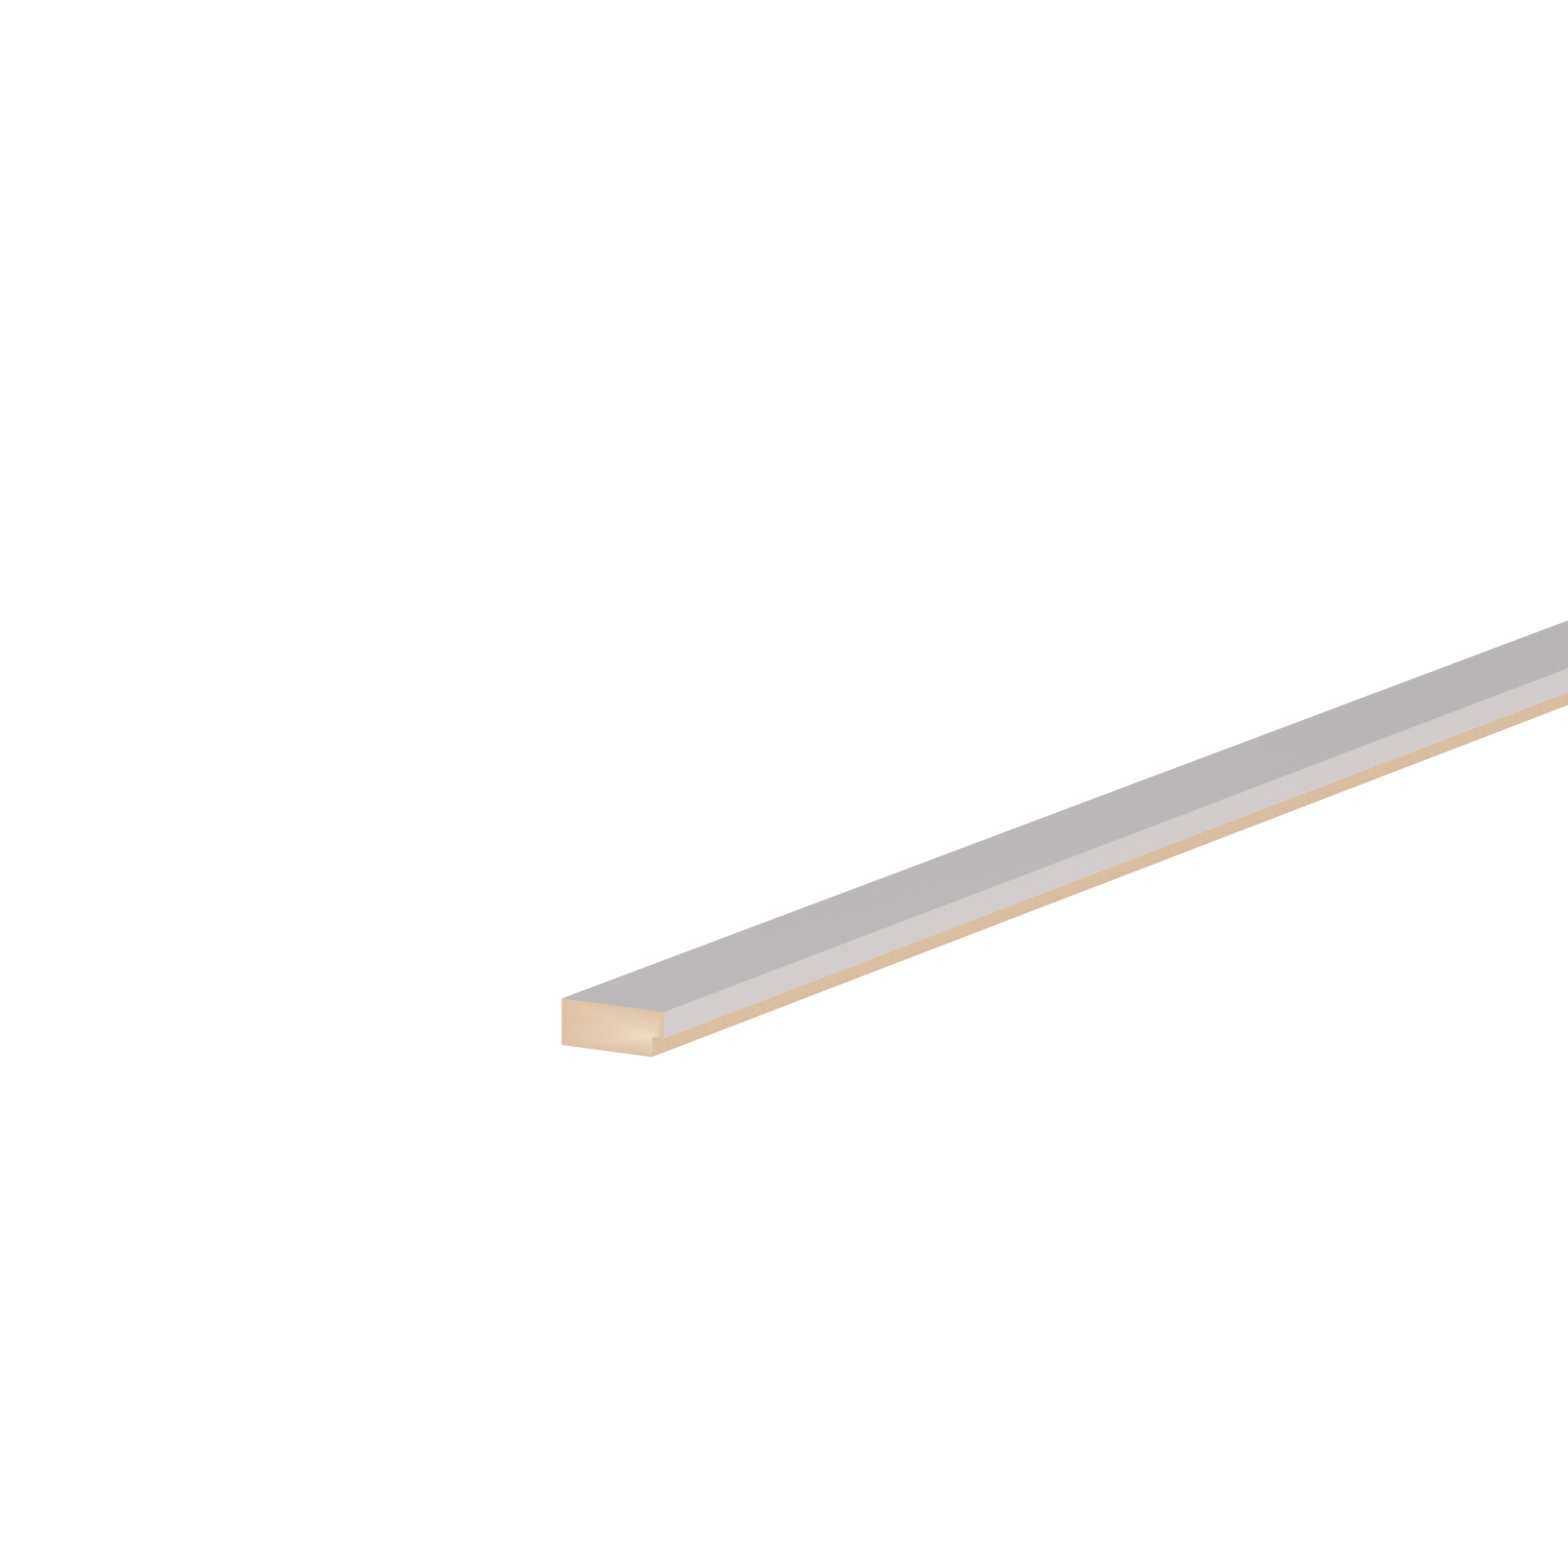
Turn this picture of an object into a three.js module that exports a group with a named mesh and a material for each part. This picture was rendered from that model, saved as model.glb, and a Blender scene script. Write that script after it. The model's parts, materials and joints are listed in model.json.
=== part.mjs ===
// A straight length of flat rebated corner moulding, one machined piece of wood.
//
// Its section is a flat rectangle with a rebate cut out of one lower edge, so that a lip
// is left above it. The moulding lies on its underside, with its decorative face up.
//
// Frame: millimetres, +Z up. +X runs along the length, +Y points to the outer side and
// -Y to the lip. The origin is at the bottom of the moulding, in the middle of its length
// and of its overall width.

import * as THREE from "three";

// The section, as the moulder's knives leave it
const WIDTH = 52; // outer side to the lip's edge
const HEIGHT = 21; // underside to face
const REBATE_WIDTH = 6; // cheek of the rebate to the lip's edge
const REBATE_HEIGHT = 9; // underside of the moulding to the underside of the lip

// The stick is cut square at both ends
const LENGTH = 1000;

// Each long outer edge is broken with sandpaper: a quarter round
const ARRIS_RADIUS = 0.25;
const ARRIS_STEPS = 6;

// The silver-grey coat that shows on the face
const COAT = { color: 0xbdb9b9, roughness: 0.45, metalness: 0 };

const QUARTER_TURN = Math.PI / 2;

// The arris takes at most this share of the thinnest wall beside it
const ARRIS_SHARE = 0.4;

// The section's outline, seen from the +X end with the outer side to the right: x is
// across the moulding and y is up. It goes round counterclockwise, from the cheek's foot.
function sectionOutline() {
  const outer = WIDTH / 2;
  const lip = -WIDTH / 2;
  const cheek = lip + REBATE_WIDTH;
  const lipHeight = HEIGHT - REBATE_HEIGHT;
  const thinnest = Math.min(REBATE_WIDTH, REBATE_HEIGHT, lipHeight, WIDTH - REBATE_WIDTH);
  const radius = Math.min(ARRIS_RADIUS, ARRIS_SHARE * thinnest);

  const outline = new THREE.Shape();
  const arris = (x, y, quarter) =>
    outline.absarc(x, y, radius, quarter * QUARTER_TURN, (quarter + 1) * QUARTER_TURN, false);

  arris(cheek + radius, radius, 2); // foot of the cheek
  arris(outer - radius, radius, 3); // outer lower edge
  arris(outer - radius, HEIGHT - radius, 0); // outer upper edge
  arris(lip + radius, HEIGHT - radius, 1); // face to the lip's edge
  arris(lip + radius, REBATE_HEIGHT + radius, 2); // lip's lower edge
  outline.lineTo(cheek, REBATE_HEIGHT); // the rebate's inner corner is left sharp
  outline.closePath();
  return outline;
}

// The moulding is its section run through the length and cut square at both ends.
function makeMoulding() {
  const geometry = new THREE.ExtrudeGeometry(sectionOutline(), {
    depth: LENGTH,
    steps: 1,
    bevelEnabled: false,
    curveSegments: ARRIS_STEPS / 2, // three.js cuts each arc into twice this number
  });
  const moulding = new THREE.Mesh(geometry, new THREE.MeshStandardMaterial(COAT));
  moulding.name = "moulding";
  // The section's x, y and its run turn into the frame's Y, Z and X
  moulding.rotation.set(QUARTER_TURN, QUARTER_TURN, 0);
  moulding.position.x = -LENGTH / 2;
  return moulding;
}

const cornerMoulding = new THREE.Group();
cornerMoulding.add(makeMoulding());

export default cornerMoulding;
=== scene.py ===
# %% [markdown]
# Rebated corner moulding: a lesson in dressing one straight piece of joinery
#
# The object is a single length of machined wood. Its section is a flat rectangle with a
# rebate cut out of one lower edge, so a lip is left above it. A silver-grey coat covers the
# face, the lip's edge and the outer side. The underside, the rebate and the two sawn ends
# are bare, pale wood.
#
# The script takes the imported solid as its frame, sweeps a finer copy of the same section
# along it, and gives each surface the finish that it has on the real stick. All lengths are
# in metres unless a name ends in MM or PX.

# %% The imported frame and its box
import json

import bpy
import numpy as np
from mathutils import Matrix, Vector


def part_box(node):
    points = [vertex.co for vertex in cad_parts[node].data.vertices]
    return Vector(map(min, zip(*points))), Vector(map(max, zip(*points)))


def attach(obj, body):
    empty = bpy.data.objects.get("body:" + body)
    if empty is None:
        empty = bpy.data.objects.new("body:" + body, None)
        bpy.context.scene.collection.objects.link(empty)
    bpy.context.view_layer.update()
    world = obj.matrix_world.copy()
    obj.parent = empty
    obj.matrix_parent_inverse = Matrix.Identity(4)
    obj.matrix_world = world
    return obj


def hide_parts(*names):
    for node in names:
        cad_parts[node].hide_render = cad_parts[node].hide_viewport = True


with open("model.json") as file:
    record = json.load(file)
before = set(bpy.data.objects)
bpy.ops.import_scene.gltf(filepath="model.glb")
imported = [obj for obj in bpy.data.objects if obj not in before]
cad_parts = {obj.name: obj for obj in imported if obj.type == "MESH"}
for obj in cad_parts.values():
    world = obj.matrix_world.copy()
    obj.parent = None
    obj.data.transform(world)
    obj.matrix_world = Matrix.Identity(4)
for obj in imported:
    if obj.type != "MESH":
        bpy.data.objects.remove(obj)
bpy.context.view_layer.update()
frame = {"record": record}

# %% [markdown]
# Sizes
#
# Nothing of the section is typed in a second time. The box of the solid gives its length,
# width and height, and the two faces of the rebate are known from the mounts that lie on
# them. Only what is too fine for the solid gets a size of its own here.

# %% Sizes read from the frame, and the fine sizes added to them
MM = 0.001

stick_low, stick_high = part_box("moulding")
mount_at = {mount["name"]: Vector(mount["pos_m"]) for mount in frame["record"]["mounts"]}

NEAR_X, FAR_X = stick_low.x, stick_high.x
LIP_Y, OUTER_Y = stick_low.y, stick_high.y
FOOT_Z, FACE_Z = stick_low.z, stick_high.z
CHEEK_Y = mount_at["rebate_cheek"].y
SEAT_Z = mount_at["rebate_seat"].z

ARRIS = 0.25 * MM  # radius of the sanded long edges
ARRIS_WANDER = 0.3  # share by which sanding lets that radius vary along the stick
SAWN_RIM = 0.06 * MM  # easing of the edge that the saw leaves round each end
COAT_FILM = 0.08 * MM  # thickness of the coat, where a saw cut shows it edge on

print("rebate:", round((CHEEK_Y - LIP_Y) / MM, 2), "by", round((SEAT_Z - FOOT_Z) / MM, 2), "mm")

# %% [markdown]
# The camera
#
# The stick is seen from a low, nearly level place beyond its sawn end, with a very long
# lens, so its edges run almost parallel. Such a view is easiest to state as a photographer
# would: the lens, the two angles of the line of sight, and how far away one known corner
# is and where in the picture it lands. The camera's place then follows from that corner.

# %% Camera
PICTURE_PX = 1932
SENSOR_MM = 36.0
LENS_MM = 416.8
VIEW_AZIMUTH = np.radians(-59.68)
VIEW_ELEVATION = np.radians(12.28)
CORNER_PX = (818.0, 1246.7)  # upper corner of the lip at the near end
CORNER_DISTANCE = 7.891


def place_camera():
    """Ray from the lens to the corner = forward + right and up by its pixels over the focal
    length in pixels. The camera stands that ray's length back from the corner."""
    back = Vector(
        (
            np.sin(VIEW_AZIMUTH) * np.cos(VIEW_ELEVATION),
            -np.cos(VIEW_AZIMUTH) * np.cos(VIEW_ELEVATION),
            np.sin(VIEW_ELEVATION),
        )
    )
    right = Vector((np.cos(VIEW_AZIMUTH), np.sin(VIEW_AZIMUTH), 0.0))
    up = back.cross(right)
    focal_px = LENS_MM / SENSOR_MM * PICTURE_PX
    across, down = (pixel - PICTURE_PX / 2 for pixel in CORNER_PX)
    ray = -back + right * (across / focal_px) - up * (down / focal_px)
    corner = Vector((NEAR_X, LIP_Y, FACE_Z))

    camera = bpy.data.objects.new("camera", bpy.data.cameras.new("camera"))
    camera.data.lens = LENS_MM
    camera.data.sensor_width = SENSOR_MM
    camera.data.clip_start = 0.1
    camera.data.clip_end = 100.0
    turn = Matrix((right, up, back)).transposed().to_4x4()
    camera.matrix_world = Matrix.Translation(corner - ray.normalized() * CORNER_DISTANCE) @ turn
    bpy.context.scene.collection.objects.link(camera)
    bpy.context.scene.camera = camera
    return camera


camera = place_camera()
print("camera at", [round(v, 3) for v in camera.matrix_world.translation])

# %% [markdown]
# The section
#
# A moulding is made by knives ground to its section, which is run along the whole stick.
# The section here is six corners joined by straight spans. Five corners stand out and are
# sanded to a small arris, and the inner corner of the rebate stays sharp.
#
# The radius of an arris varies along the stick, so each point of the section is kept as two
# plane vectors: an anchor, and a pull that is multiplied by the radius. One table of points
# then serves every place along the stick. Each point also knows which way the surface
# faces there, which is needed for easing the sawn rim.

# %% Corners and spans of the section
COAT, BARE, END = 0, 1, 2  # material slots of the finished piece

CORNERS = np.array(
    [
        (CHEEK_Y, FOOT_Z),
        (OUTER_Y, FOOT_Z),
        (OUTER_Y, FACE_Z),
        (LIP_Y, FACE_Z),
        (LIP_Y, SEAT_Z),
        (CHEEK_Y, SEAT_Z),
    ]
)
SPAN_FINISH = [BARE, COAT, COAT, COAT, BARE, BARE]  # underside, outer side, face, lip, seat, cheek
INNER_CORNER = 5

ARRIS_STEPS = 8
GUARD = 0.3 * MM  # strip beside each corner that keeps the shading of the flats level
FLAT_PITCH = 4.0 * MM


def section_points():
    """Points of the section, counterclockwise seen from the far end with the outer side
    to the right: each span's points, then the arc to the next span.
    A flat's point = corner + distance along the span. An arc's point = corner - radius x
    (normal before + normal after) + radius x (the normal turned from before to after).
    Returns anchor, pull and inward vectors, each point's corner, and the finish of the
    strip that starts at it."""
    following = np.roll(CORNERS, -1, axis=0)
    spans = following - CORNERS
    lengths = np.linalg.norm(spans, axis=1)
    along = spans / lengths[:, None]
    outward = np.stack([along[:, 1], -along[:, 0]], axis=1)
    reach = ARRIS * (1 + ARRIS_WANDER) + GUARD
    anchors, pulls, inwards, owners, finishes = [], [], [], [], []

    for i, finish in enumerate(SPAN_FINISH):
        after = (i + 1) % len(CORNERS)
        start_sharp, end_sharp = i == INNER_CORNER, after == INNER_CORNER
        first = GUARD if start_sharp else reach
        last = lengths[i] - (GUARD if end_sharp else reach)
        count = max(2, int(np.ceil((last - first) / FLAT_PITCH)) + 1)
        steps = np.linspace(first, last, count)
        anchors.append(CORNERS[i] + steps[:, None] * along[i])
        pulls.append(np.zeros((count, 2)))
        inwards.append(np.tile(-outward[i], (count, 1)))
        owners.append(np.full(count, i))
        finishes.append(np.full(count, finish))

        if end_sharp:
            anchors.append(CORNERS[after][None])
            pulls.append(np.zeros((1, 2)))
            inwards.append(-(outward[i] + outward[after])[None])
            owners.append(np.array([after]))
            finishes.append(np.array([SPAN_FINISH[after]]))
            continue
        turn = np.linspace(0.0, np.pi / 2, ARRIS_STEPS + 1)[:, None]
        facing = np.cos(turn) * outward[i] + np.sin(turn) * outward[after]
        coated = COAT in (finish, SPAN_FINISH[after])
        arc = np.full(ARRIS_STEPS + 1, COAT if coated else BARE)
        arc[-1] = SPAN_FINISH[after]
        anchors.append(np.tile(CORNERS[after], (ARRIS_STEPS + 1, 1)))
        pulls.append(facing - outward[i] - outward[after])
        inwards.append(-facing)
        owners.append(np.full(ARRIS_STEPS + 1, after))
        finishes.append(arc)

    return tuple(np.concatenate(part) for part in (anchors, pulls, inwards, owners, finishes))


anchor, pull, inward, corner_of, strip_finish = section_points()
print("section:", len(anchor), "points,", np.count_nonzero(strip_finish == COAT), "strips coated")

# %% [markdown]
# The sweep
#
# The section is repeated at stations along the stick and neighbouring stations are joined
# by quads. Sanding is never quite even, so each arris radius drifts a little: a few slow
# waves, seeded so that every run gives the same stick. At each end three closer stations
# curl the surface over the sawn rim, one more ring shows the coat edge on, and a flat
# polygon closes the cut.

# %% Stations, arris drift and the rings of each end
STATION_PITCH = 4.0 * MM
RIM_STEPS = 3
DRIFT_WAVES_M = (0.9, 0.37, 0.17)  # lengths of the slow waves in an arris radius
RANDOM = np.random.default_rng(7)


def arris_radius(x):
    """Radius of each corner's arris at each station = ARRIS x (1 + ARRIS_WANDER x mean of
    three sines of x with random phases)."""
    phases = RANDOM.uniform(0.0, 2 * np.pi, (len(DRIFT_WAVES_M), 1, len(CORNERS)))
    waves = np.array(DRIFT_WAVES_M)[:, None, None]
    drift = np.sin(2 * np.pi * x[None, :, None] / waves + phases).mean(axis=0)
    return ARRIS * (1 + ARRIS_WANDER * drift)


def rings():
    """Rows of (x, inset) for all rings. Over a rim, x = end + rim x (1 - sin turn) and
    inset = rim x (1 - cos turn). The film ring lies in the cut, further in by the coat."""
    turn = np.linspace(0.0, np.pi / 2, RIM_STEPS + 1)
    from_end = SAWN_RIM * (1 - np.sin(turn))
    inset = SAWN_RIM * (1 - np.cos(turn))
    near = np.stack([NEAR_X + from_end, inset], axis=1)[::-1]
    near = np.vstack([(NEAR_X, SAWN_RIM + COAT_FILM), near])
    far = near[::-1] * (-1, 1) + (NEAR_X + FAR_X, 0)
    count = int(np.ceil((FAR_X - NEAR_X) / STATION_PITCH))
    middle = np.linspace(NEAR_X + SAWN_RIM, FAR_X - SAWN_RIM, count)[1:-1]
    return np.vstack([near, np.stack([middle, np.zeros(len(middle))], axis=1), far])


ring_x, ring_inset = rings().T
print("sweep:", len(ring_x), "rings along", round(FAR_X - NEAR_X, 3), "m")

# %% Mesh of the stick
EDGE_TURN = np.radians(35.0)  # a turn between faces that is sharper than this shows as an edge


def sweep_mesh():
    """Point = anchor + radius x pull + inset x inward, at the ring's x. Quads join ring to
    ring, and one polygon closes each end. Seen from outside, every face runs counterclockwise."""
    radius = arris_radius(ring_x)[:, corner_of]
    flat = anchor[None] + radius[..., None] * pull[None]
    flat = flat + ring_inset[:, None, None] * inward[None]
    x = np.broadcast_to(ring_x[:, None, None], (*flat.shape[:2], 1))
    points = np.concatenate([x, flat], axis=2)

    many, around = flat.shape[:2]
    index = np.arange(many * around).reshape(many, around)
    beside = np.roll(index, -1, axis=1)
    quads = np.stack([index[:-1], beside[:-1], beside[1:], index[1:]], axis=2)
    finish = np.tile(strip_finish, (many - 1, 1))
    for ring in (0, -1):
        finish[ring] = np.where(strip_finish == COAT, COAT, END)
    caps = [index[0][::-1].tolist(), index[-1].tolist()]

    mesh = bpy.data.meshes.new("moulding_stick")
    faces = quads.reshape(-1, 4).tolist() + caps
    mesh.from_pydata(points.reshape(-1, 3).tolist(), [], faces)
    slots = np.concatenate([finish.ravel(), [END, END]]).astype(np.int32)
    mesh.polygons.foreach_set("material_index", slots)
    mesh.polygons.foreach_set("use_smooth", np.ones(len(slots), dtype=bool))
    mesh.set_sharp_from_angle(angle=EDGE_TURN)
    mesh.validate()
    mesh.update()
    return mesh


stick = bpy.data.objects.new("moulding_stick", sweep_mesh())
bpy.context.scene.collection.objects.link(stick)
print("stick:", len(stick.data.vertices), "points,", len(stick.data.polygons), "faces")

# %% [markdown]
# Shader arithmetic
#
# A finish is easier to read as a formula than as a tangle of nodes. Wire holds one output
# socket, and Python's own operators on it add the Math nodes. Finish owns a node tree, and
# its one method adds every other kind of node: first its settings, then its sockets.

# %% Wire and Finish


class Wire:
    """One value in a finish. An operator adds the Math node that works it out."""

    def __init__(self, finish, socket):
        self.finish = finish
        self.socket = socket

    def math(self, operation, *values):
        numbered = dict(enumerate(values))
        return self.finish.node("ShaderNodeMath", {"operation": operation}, numbered)

    def __add__(self, other):
        return self.math("ADD", self, other)

    def __sub__(self, other):
        return self.math("SUBTRACT", self, other)

    def __rsub__(self, other):
        return self.math("SUBTRACT", other, self)

    def __mul__(self, other):
        return self.math("MULTIPLY", self, other)

    def __truediv__(self, other):
        return self.math("DIVIDE", self, other)

    __radd__ = __add__


class Finish:
    """A node tree being written."""

    def __init__(self, owner):
        owner.use_nodes = True
        self.tree = owner.node_tree
        self.tree.nodes.clear()

    def node(self, kind, settings=None, inputs=None, output=0):
        """Adds one node: its settings, then a value or a Wire for each socket named."""
        made = self.tree.nodes.new(kind)
        for name, value in (settings or {}).items():
            if name == "stops":
                set_stops(made.color_ramp, value)
            else:
                setattr(made, name, value)
        for name, value in (inputs or {}).items():
            if isinstance(value, Wire):
                self.tree.links.new(value.socket, made.inputs[name])
            else:
                made.inputs[name].default_value = value
        return Wire(self, made.outputs[output]) if made.outputs else None


def set_stops(ramp, stops):
    """Gives a colour ramp its stops, as (position, linear RGB) pairs."""
    while len(ramp.elements) < len(stops):
        ramp.elements.new(0.5)
    for element, (position, colour) in zip(ramp.elements, stops):
        element.position = position
        element.color = (*colour, 1.0)


# %% Nodes that several finishes share


def vector_math(finish, operation, sockets, output=0):
    """One operation on whole places, such as their sum or the distance between them."""
    return finish.node("ShaderNodeVectorMath", {"operation": operation}, sockets, output)


def place_mm(finish):
    """Place on the stick in millimetres = Object coordinates x 1000."""
    place = finish.node("ShaderNodeTexCoord", output="Object")
    return vector_math(finish, "SCALE", {0: place, "Scale": 1 / MM})


def separate(finish, place):
    """The x, y and z of a place, as three wires."""
    return [
        finish.node("ShaderNodeSeparateXYZ", inputs={"Vector": place}, output=axis)
        for axis in "XYZ"
    ]


def grain(finish, place, length, width, detail=2.0):
    """Noise drawn out along the stick, about -0.5 to 0.5: its cells are length by width mm."""
    stretch = (1 / length, 1 / width, 1 / width)
    cells = vector_math(finish, "MULTIPLY", {0: place, 1: stretch})
    sockets = {"Vector": cells, "Scale": 1.0, "Detail": detail}
    noise = finish.node("ShaderNodeTexNoise", inputs=sockets)
    return noise - 0.5


def fade(finish, value, low, high):
    """0 below low, 1 above high, and a smooth step between them."""
    span = {"Value": value, "From Min": low, "From Max": high}
    return finish.node("ShaderNodeMapRange", {"interpolation_type": "SMOOTHSTEP"}, span)


def blend(finish, share, under, over, how="MIX"):
    """Colour of under, taken towards over by share."""
    settings = {"data_type": "RGBA", "blend_type": how}
    return finish.node("ShaderNodeMix", settings, {0: share, 6: under, 7: over}, output=2)


def rgba(colour, strength=1.0):
    """Linear colour times a strength, with full alpha."""
    return (*(channel * strength for channel in colour), 1.0)


def relief(finish, height, depth_mm):
    """Normal of a surface whose height runs from 0 to 1 over depth_mm."""
    return finish.node("ShaderNodeBump", inputs={"Distance": depth_mm * MM, "Height": height})


def surface(finish, colour, roughness, normal, specular):
    """Closes a finish with one Principled surface."""
    sockets = {
        "Base Color": colour,
        "Roughness": roughness,
        "Normal": normal,
        "Specular IOR Level": specular,
    }
    shader = finish.node("ShaderNodeBsdfPrincipled", inputs=sockets)
    finish.node("ShaderNodeOutputMaterial", inputs={"Surface": shader})


# %% [markdown]
# The coat
#
# A sprayed satin lacquer over sanded wood. From a step away it is an even, slightly warm
# grey. Close up it has a very fine speckle, a faint cloudiness where the spray passes
# overlap, the skin of tiny swells that painters call orange peel, and the wood's grain
# just telling through it. All of that is noise, at the scale each really has.

# %% Coat
COAT_COLOUR = (0.584, 0.5405, 0.540)
COAT_SPREAD = 0.06  # how far the darkest and palest specks lie from that colour
COAT_ROUGHNESS = 0.42
COAT_SPECULAR = 0.5

# Length and width of the cells of each noise, and its share of the shade
CLOUD_MM, CLOUD_SHARE = (140.0, 60.0), 0.15
SPECKLE_MM, SPECKLE_SHARE = (1.0, 0.9), 0.9
TELLING_MM, TELLING_SHARE = (45.0, 0.8), 0.12

CLOUD_ROUGHNESS = 0.06
SPECKLE_ROUGHNESS = 0.05
PEEL_MM = (1.8, 1.5)
PEEL_DEPTH_MM = 0.014
TELLING_HEIGHT = 0.4  # the grain's height, as a share of the orange peel's


def coat_finish():
    """Shade = clouds + speckle + telling grain. Height = orange peel + telling grain."""
    material = bpy.data.materials.new("silver_grey_coat")
    finish = Finish(material)
    place = place_mm(finish)
    clouds = grain(finish, place, *CLOUD_MM)
    speckle = grain(finish, place, *SPECKLE_MM, detail=3.0)
    telling = grain(finish, place, *TELLING_MM)
    peel = grain(finish, place, *PEEL_MM, detail=1.0)
    shade = 0.5 + clouds * CLOUD_SHARE + speckle * SPECKLE_SHARE + telling * TELLING_SHARE
    darkest = rgba(COAT_COLOUR, 1 - COAT_SPREAD)
    palest = rgba(COAT_COLOUR, 1 + COAT_SPREAD)
    colour = blend(finish, shade, darkest, palest)
    roughness = COAT_ROUGHNESS + clouds * CLOUD_ROUGHNESS + speckle * SPECKLE_ROUGHNESS
    normal = relief(finish, 0.5 + peel + telling * TELLING_HEIGHT, PEEL_DEPTH_MM)
    surface(finish, colour, roughness, normal, COAT_SPECULAR)
    return material


coat = coat_finish()
print("coat:", len(coat.node_tree.nodes), "nodes")


# %% [markdown]
# The wood
#
# A pale, fine and straight-grained hardwood. Wood is a solid texture, so one formula in
# space gives every face its own figure: growth rings are sheets round a pith that lies far
# to one side, which show as upright lines on the sawn end and as long lines on the
# underside. Fibres and pores are noise drawn out along the stick.
#
# Where such wood is darker it is also warmer: red hardly changes, green falls a little and
# blue falls most. So a figure is painted by multiplying with a warm tint, not with a grey.

# %% Wood figure
RING_PITCH_MM = 1.85
PITH_MM = (0.0, -600.0, 11.0)  # the middle of the tree, far outside the lip's side
RING_WANDER_MM = 2.0
WANDER_CELL_MM = (320.0, 70.0)  # length and width of the noise's cells, here and below
FIBRE_MM = (40.0, 0.45)
PORE_MM = (5.0, 0.16)
PORE_PEAKS = (0.16, 0.26)  # the heights of that noise where a pore begins and is fully open
PORE_COLOUR = (0.480, 0.330, 0.200)
PALE_TINT = (1.0, 1.0, 1.0)


def wood_figure(finish, place):
    """Rings = a wave of the distance from the pith, warped by slow noise. Pores = the peaks
    of noise in thin long cells. Returns rings, fibres and pores, each about 0 to 1."""
    warp = grain(finish, place, *WANDER_CELL_MM, detail=1.0) * RING_WANDER_MM
    from_pith = vector_math(finish, "SUBTRACT", {0: place, 1: PITH_MM})
    across = vector_math(finish, "MULTIPLY", {0: from_pith, 1: (0.0, 1.0, 1.0)})
    distance = vector_math(finish, "LENGTH", {0: across}, "Value")
    turn = (distance + warp) * (2 * np.pi / RING_PITCH_MM)
    rings = turn.math("SINE", turn) * 0.5 + 0.5
    fibres = grain(finish, place, *FIBRE_MM, detail=3.0) + 0.5
    pores = fade(finish, grain(finish, place, *PORE_MM, detail=1.0), *PORE_PEAKS)
    return rings, fibres, pores


def tinted(finish, colour, share, tint):
    """Colour multiplied by a tint where share is 1, and left as it is where share is 0."""
    tint_here = blend(finish, share, rgba(PALE_TINT), rgba(tint))
    return blend(finish, 1.0, colour, tint_here, "MULTIPLY")


print("growth rings every", RING_PITCH_MM, "mm, fibres", FIBRE_MM[1], "mm wide")


# %% [markdown]
# Bare planed wood
#
# The underside and the rebate come straight from the moulder. Its toothed feed rollers
# press rows of short marks across the stick at an even pitch. Pressed wood is burnished a
# little darker and warmer. The cheek of the rebate has two such rows, out of step with each
# other, and a thin pale line where they meet. A closer look shows the fibres, and the open
# pores as short dark dashes.

# %% Roller marks
ROLLER_PITCH_MM = 8.18
ROLLER_LEAN = 0.28  # how far the upper marks lean towards the near end as they rise
UPPER_MARK_MM = 5.5  # place of the upper row's first mark from the near end, at the foot's level
LOWER_MARK_MM = 6.95  # and of the lower row's
ROWS_MEET_MM = 2.4  # height of the line between the rows
ROWS_SOFT_MM = 0.3  # how far each row runs out past that height
LINE_MM = (0.1, 0.5)  # how far from it the pale line is still full, and where it ends
UPPER_PULSE = (0.45, 1.0)  # the heights of each cosine where a mark begins and is full
LOWER_PULSE = (0.1, 0.9)


def roller_marks(finish, place):
    """Mark = a smooth pulse round each peak of a cosine along the stick. The upper row's
    cosine slides with height. Returns the marks, 0 to 1, and the line between the rows."""
    x, _, z = separate(finish, place)
    along = x - NEAR_X / MM
    height = z - FOOT_Z / MM
    per_mm = 2 * np.pi / ROLLER_PITCH_MM
    upper = along.math("COSINE", (along + height * ROLLER_LEAN - UPPER_MARK_MM) * per_mm)
    lower = along.math("COSINE", (along - LOWER_MARK_MM) * per_mm)
    rows = fade(finish, height, ROWS_MEET_MM - ROWS_SOFT_MM, ROWS_MEET_MM + ROWS_SOFT_MM)
    upper_row = fade(finish, upper, *UPPER_PULSE) * rows
    lower_row = fade(finish, lower, *LOWER_PULSE) * (1 - rows)
    off_line = height.math("ABSOLUTE", height - ROWS_MEET_MM)
    return upper_row + lower_row, 1 - fade(finish, off_line, *LINE_MM)


print("roller marks:", round((FAR_X - NEAR_X) / MM / ROLLER_PITCH_MM), "in each row")

# %% Planed wood
WOOD_WARM = (0.629, 0.467, 0.304)  # where the tone is deepest
WOOD_PALE = (0.681, 0.532, 0.379)  # and where it is palest
ROLLER_TINT = (0.988, 0.952, 0.89)
MEETING_TINT = (1.005, 1.022, 1.055)
PLANED_DEPTH_MM = 0.02
BROAD_MM = (60.0, 12.0)
PATCH_MM = (6.0, 2.5)  # cells in which the marks press harder or softer
MARK_STRENGTH = 0.85
PLANED_PORES = 0.35  # how dark the pores are
PLANED_ROUGHNESS = 0.62
FIBRE_ROUGHNESS = 0.12
MARK_POLISH = 0.06  # how much smoother a burnished mark is
PLANED_SPECULAR = 0.3

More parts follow.
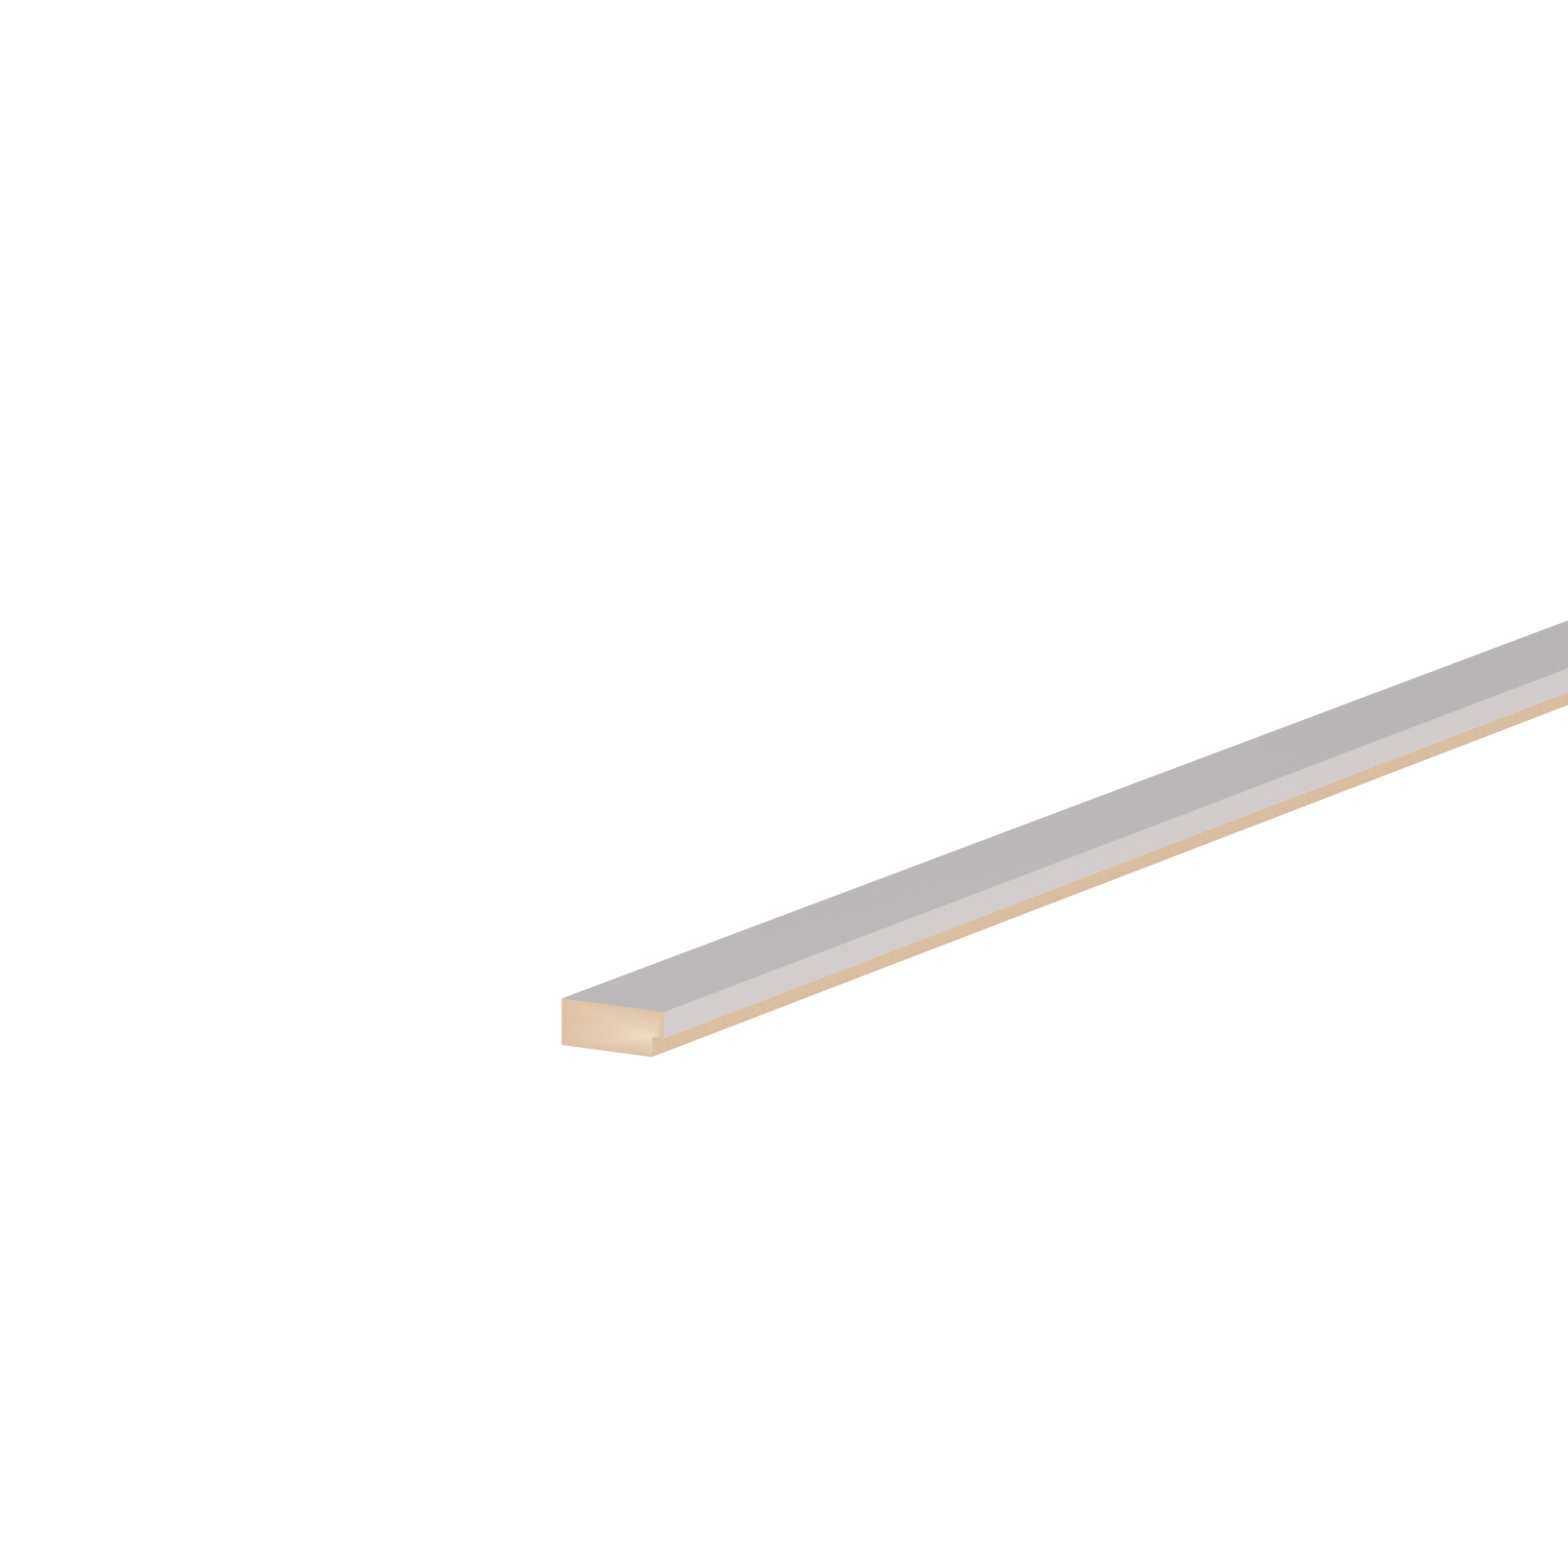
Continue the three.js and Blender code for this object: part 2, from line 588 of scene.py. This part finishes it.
# Shade at the foot, and the share that each part of the figure and the height add to it. The height's
# share is painted light: darker at the foot and paler up the cheek, against the table's glow at the
# foot and the shade under the lip.
FOOT_SHADE = 0.255
PAINTED_LIGHT_RISE_SHARE = 0.7
RING_SHARE = 0.05
FIBRE_SHARE = 0.25
BROAD_SHARE = 0.07

# How deep each part goes, as a share of the relief's depth
MARK_HEIGHT = 0.5
FIBRE_HEIGHT = 0.15
PORE_HEIGHT = 0.25


def planed_finish():
    """Shade = fibres + faint rings + broad noise + painted light that rises with height above the
    foot, then roller marks, the pale line and pores tinted on. Height = 1 - marks + fibres - pores."""
    material = bpy.data.materials.new("planed_wood")
    finish = Finish(material)
    place = place_mm(finish)
    rings, fibres, pores = wood_figure(finish, place)
    marks, meeting = roller_marks(finish, place)
    broad = grain(finish, place, *BROAD_MM)
    patchy = grain(finish, place, *PATCH_MM, detail=1.0)
    _, _, z = separate(finish, place)
    rise = (z - FOOT_Z / MM) / ((SEAT_Z - FOOT_Z) / MM)
    figure = (rings - 0.5) * RING_SHARE + (fibres - 0.5) * FIBRE_SHARE + broad * BROAD_SHARE
    # Painted light: the planed wood is painted darker at its foot and paler towards the lip.
    shade = FOOT_SHADE + figure + rise * PAINTED_LIGHT_RISE_SHARE
    colour = blend(finish, shade, rgba(WOOD_WARM), rgba(WOOD_PALE))
    colour = tinted(finish, colour, marks * (MARK_STRENGTH + patchy), ROLLER_TINT)
    colour = tinted(finish, colour, meeting, MEETING_TINT)
    colour = blend(finish, pores * PLANED_PORES, colour, rgba(PORE_COLOUR))
    height = 1 - marks * MARK_HEIGHT + fibres * FIBRE_HEIGHT - pores * PORE_HEIGHT
    normal = relief(finish, height, PLANED_DEPTH_MM)
    roughness = PLANED_ROUGHNESS + fibres * FIBRE_ROUGHNESS - marks * MARK_POLISH
    surface(finish, colour, roughness, normal, PLANED_SPECULAR)
    return material


planed = planed_finish()
print("planed wood:", len(planed.node_tree.nodes), "nodes")


# %% [markdown]
# The sawn end
#
# The cut end is a little paler than the planed faces. Over that lies painted light: a painted
# glow, brightest at the rebate's inner corner, and painted shade that falls evenly from there to
# each edge of the cut, like the four slopes of a pyramid whose top is that corner: at any point
# the slope that is lowest holds. Over it come the growth rings as fine upright lines, which show
# best in one warmer layer above the middle, the pores as dots, and the shallow arcs that the
# saw's teeth leave.

# %% Sawn end
# The slopes and the rim strip below shape painted light on the cut: a painted glow at the rebate's
# inner corner and painted shade towards each edge.
HIP_SOFTNESS = 0.03  # how far the slopes round into each other where they meet
TIP_RIM_MM = 0.5  # strip along the lip's edge that stays at the foot of its slope
# Colour of the cut at its edges, then raised by painted light to a painted glow at the rebate's inner
# corner
END_PAINTED_GLOW_TONES = [
    (0.0, (0.679, 0.5135, 0.3575)),
    (0.5, (0.744, 0.584, 0.433)),
    (1.0, (0.812, 0.707, 0.561)),
]
RING_TINT = (0.998, 0.978, 0.925)
FIBRE_TINT = (0.976, 0.95, 0.89)
LAYER_TINT = (0.998, 0.985, 0.965)
LAYER_MM = (9.5, 12.0, 12.8, 15.2)  # heights where the warmer layer begins, is full, and ends
END_PORES = 0.4  # how dark the pores are
END_FIBRES = 0.5  # how strong the fibres' tint is
END_ROUGHNESS = 0.75
END_SPECULAR = 0.25
SAW_PITCH_MM = 1.3
SAW_CENTRE_MM = (0.0, 40.0, 150.0)  # axle of the blade that made the cut
SAW_DEPTH_MM = 0.016
CUT_HEIGHT = 0.6  # height of the arcs, and of the fibres, as a share of the relief's depth

# Strength of the ring lines: the least anywhere, then what is added below the layer's top, for
# each mm of height there, and in the layer itself
RING_LEAST = 0.17
RING_BELOW = 0.18
RING_PER_MM = 0.035
RING_IN_LAYER = 0.2


def painted_glow_pyramid(finish, y, z):
    """Height of the painted glow on the cut = smooth minimum of the four slopes. Slope = distance
    from an edge of the cut over the rebate corner's own distance from that edge. The lip's slope
    starts at its rim strip, which stays in the painted shade."""
    slopes = [
        (OUTER_Y / MM - y) / ((OUTER_Y - CHEEK_Y) / MM),
        (FACE_Z / MM - z) / ((FACE_Z - SEAT_Z) / MM),
        (z - FOOT_Z / MM) / ((SEAT_Z - FOOT_Z) / MM),
        (y - (LIP_Y / MM + TIP_RIM_MM)) / ((CHEEK_Y - LIP_Y) / MM - TIP_RIM_MM),
    ]
    lowest = slopes[0]
    for slope in slopes[1:]:
        lowest = lowest.math("SMOOTH_MIN", lowest, slope, HIP_SOFTNESS)
    return lowest


def sawn_finish():
    """Colour = the tone ramp at the height of the painted glow, which paints light and shade on
    the cut, tinted by rings and layer, with fibres and pores over it. Height = saw arcs + fibres -
    pores."""
    material = bpy.data.materials.new("sawn_end")
    finish = Finish(material)
    place = place_mm(finish)
    rings, fibres, pores = wood_figure(finish, place)
    _, y, z = separate(finish, place)
    begins, full, fades, ends = LAYER_MM
    below_top = 1 - fade(finish, z, fades, ends)
    layer = fade(finish, z, begins, full) * below_top
    below = below_top * (RING_BELOW + z * RING_PER_MM)
    ring_share = rings * (RING_LEAST + below + layer * RING_IN_LAYER)

    # Painted light: the cut is painted palest at the rebate's inner corner and darker towards each
    # edge.
    tone = painted_glow_pyramid(finish, y, z)
    colour = finish.node("ShaderNodeValToRGB", {"stops": END_PAINTED_GLOW_TONES}, {"Fac": tone})
    colour = tinted(finish, colour, ring_share, RING_TINT)
    colour = tinted(finish, colour, layer, LAYER_TINT)
    colour = tinted(finish, colour, (1 - fibres) * END_FIBRES, FIBRE_TINT)
    colour = blend(finish, pores * END_PORES, colour, rgba(PORE_COLOUR))
    reach = vector_math(finish, "DISTANCE", {0: place, 1: SAW_CENTRE_MM}, "Value")
    arcs = reach.math("SINE", reach * (2 * np.pi / SAW_PITCH_MM)) * 0.5 + 0.5
    normal = relief(finish, arcs * CUT_HEIGHT + fibres * CUT_HEIGHT - pores, SAW_DEPTH_MM)
    surface(finish, colour, END_ROUGHNESS, normal, END_SPECULAR)
    return material


sawn = sawn_finish()
print("sawn end:", len(sawn.node_tree.nodes), "nodes")

# %% [markdown]
# The finishes on the stick
#
# Each face of the mesh already holds the number of its finish: 0 for the coat, 1 for planed
# wood and 2 for the sawn end. The materials only have to be hung on the stick in that order.
# The stick rides on the part's one body and stands for its one solid.

# %% Finishes put on the stick
for material in (coat, planed, sawn):
    stick.data.materials.append(material)
print("finishes:", [slot.name for slot in stick.material_slots])

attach(stick, "root")
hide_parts("moulding")

# %% [markdown]
# The studio
#
# The stick lies on a light table, the pale glowing sheet that is used to photograph small
# goods with no shadow under them. The room is white at the height of the table and darker
# overhead, so the upright sides are lit more than the face. A wide soft lamp stands beyond
# the near end on the lip's side, and a small one hangs over the near end.

# %% Light table
TABLE_HALF = 40.0
TABLE_GLOW = 1.125


def light_table():
    """A flat square under the stick that glows evenly."""
    side = TABLE_HALF
    mesh = bpy.data.meshes.new("light_table")
    edge = [(-side, -side, FOOT_Z), (side, -side, FOOT_Z), (side, side, FOOT_Z), (-side, side, FOOT_Z)]
    mesh.from_pydata(edge, [], [(0, 1, 2, 3)])
    table = bpy.data.objects.new("light_table", mesh)
    bpy.context.scene.collection.objects.link(table)
    material = bpy.data.materials.new("light_table")
    finish = Finish(material)
    glow = finish.node("ShaderNodeEmission", inputs={"Strength": TABLE_GLOW})
    finish.node("ShaderNodeOutputMaterial", inputs={"Surface": glow})
    mesh.materials.append(material)


light_table()
print("table glows at", TABLE_GLOW)

# %% White room
ROOM_AT_TABLE = (1.077, 1.077, 1.077)
ROOM_OVERHEAD = (0.426, 0.436, 0.446)


def white_room():
    """Colour of the room = from the table's level to overhead, by the height of the direction."""
    world = bpy.data.worlds.new("white_room")
    finish = Finish(world)
    direction = finish.node("ShaderNodeTexCoord", output="Generated")
    _, _, height = separate(finish, direction)
    colour = blend(finish, height, rgba(ROOM_AT_TABLE), rgba(ROOM_OVERHEAD))
    shader = finish.node("ShaderNodeBackground", inputs={"Color": colour})
    finish.node("ShaderNodeOutputWorld", inputs={"Surface": shader})
    bpy.context.scene.world = world


white_room()
print("room:", ROOM_AT_TABLE[0], "at the table and about", ROOM_OVERHEAD[1], "overhead")

# %% Soft lamps


def soft_lamp(name, place, aim, width, height, share, colour):
    """A rectangular lamp that lights a surface facing it at aim as share of a white room
    would: power = share x pi squared x distance squared."""
    lamp = bpy.data.lights.new(name, "AREA")
    lamp.shape = "RECTANGLE"
    lamp.size, lamp.size_y = width, height
    lamp.color = colour
    line = Vector(aim) - Vector(place)
    lamp.energy = share * np.pi**2 * line.length_squared
    holder = bpy.data.objects.new(name, lamp)
    turn = line.to_track_quat("-Z", "Y").to_matrix().to_4x4()
    holder.matrix_world = Matrix.Translation(Vector(place)) @ turn
    bpy.context.scene.collection.objects.link(holder)
    print(name, "gives", round(lamp.energy, 1), "W")


soft_lamp(
    "side_lamp",
    place=(-3.8, -3.3, 1.0),
    aim=(0.0, 0.0, 0.0),
    width=1.8,
    height=1.2,
    share=0.10,
    colour=(1.05, 0.99, 0.92),
)
soft_lamp(
    "over_lamp",
    place=(NEAR_X - 0.2, 0.0, 1.3),
    aim=(NEAR_X, 0.0, 0.0),
    width=0.6,
    height=0.6,
    share=0.10,
    colour=(0.96, 1.0, 1.03),
)

bpy.context.scene.view_settings.view_transform = "Standard"
bpy.context.scene.view_settings.look = "None"
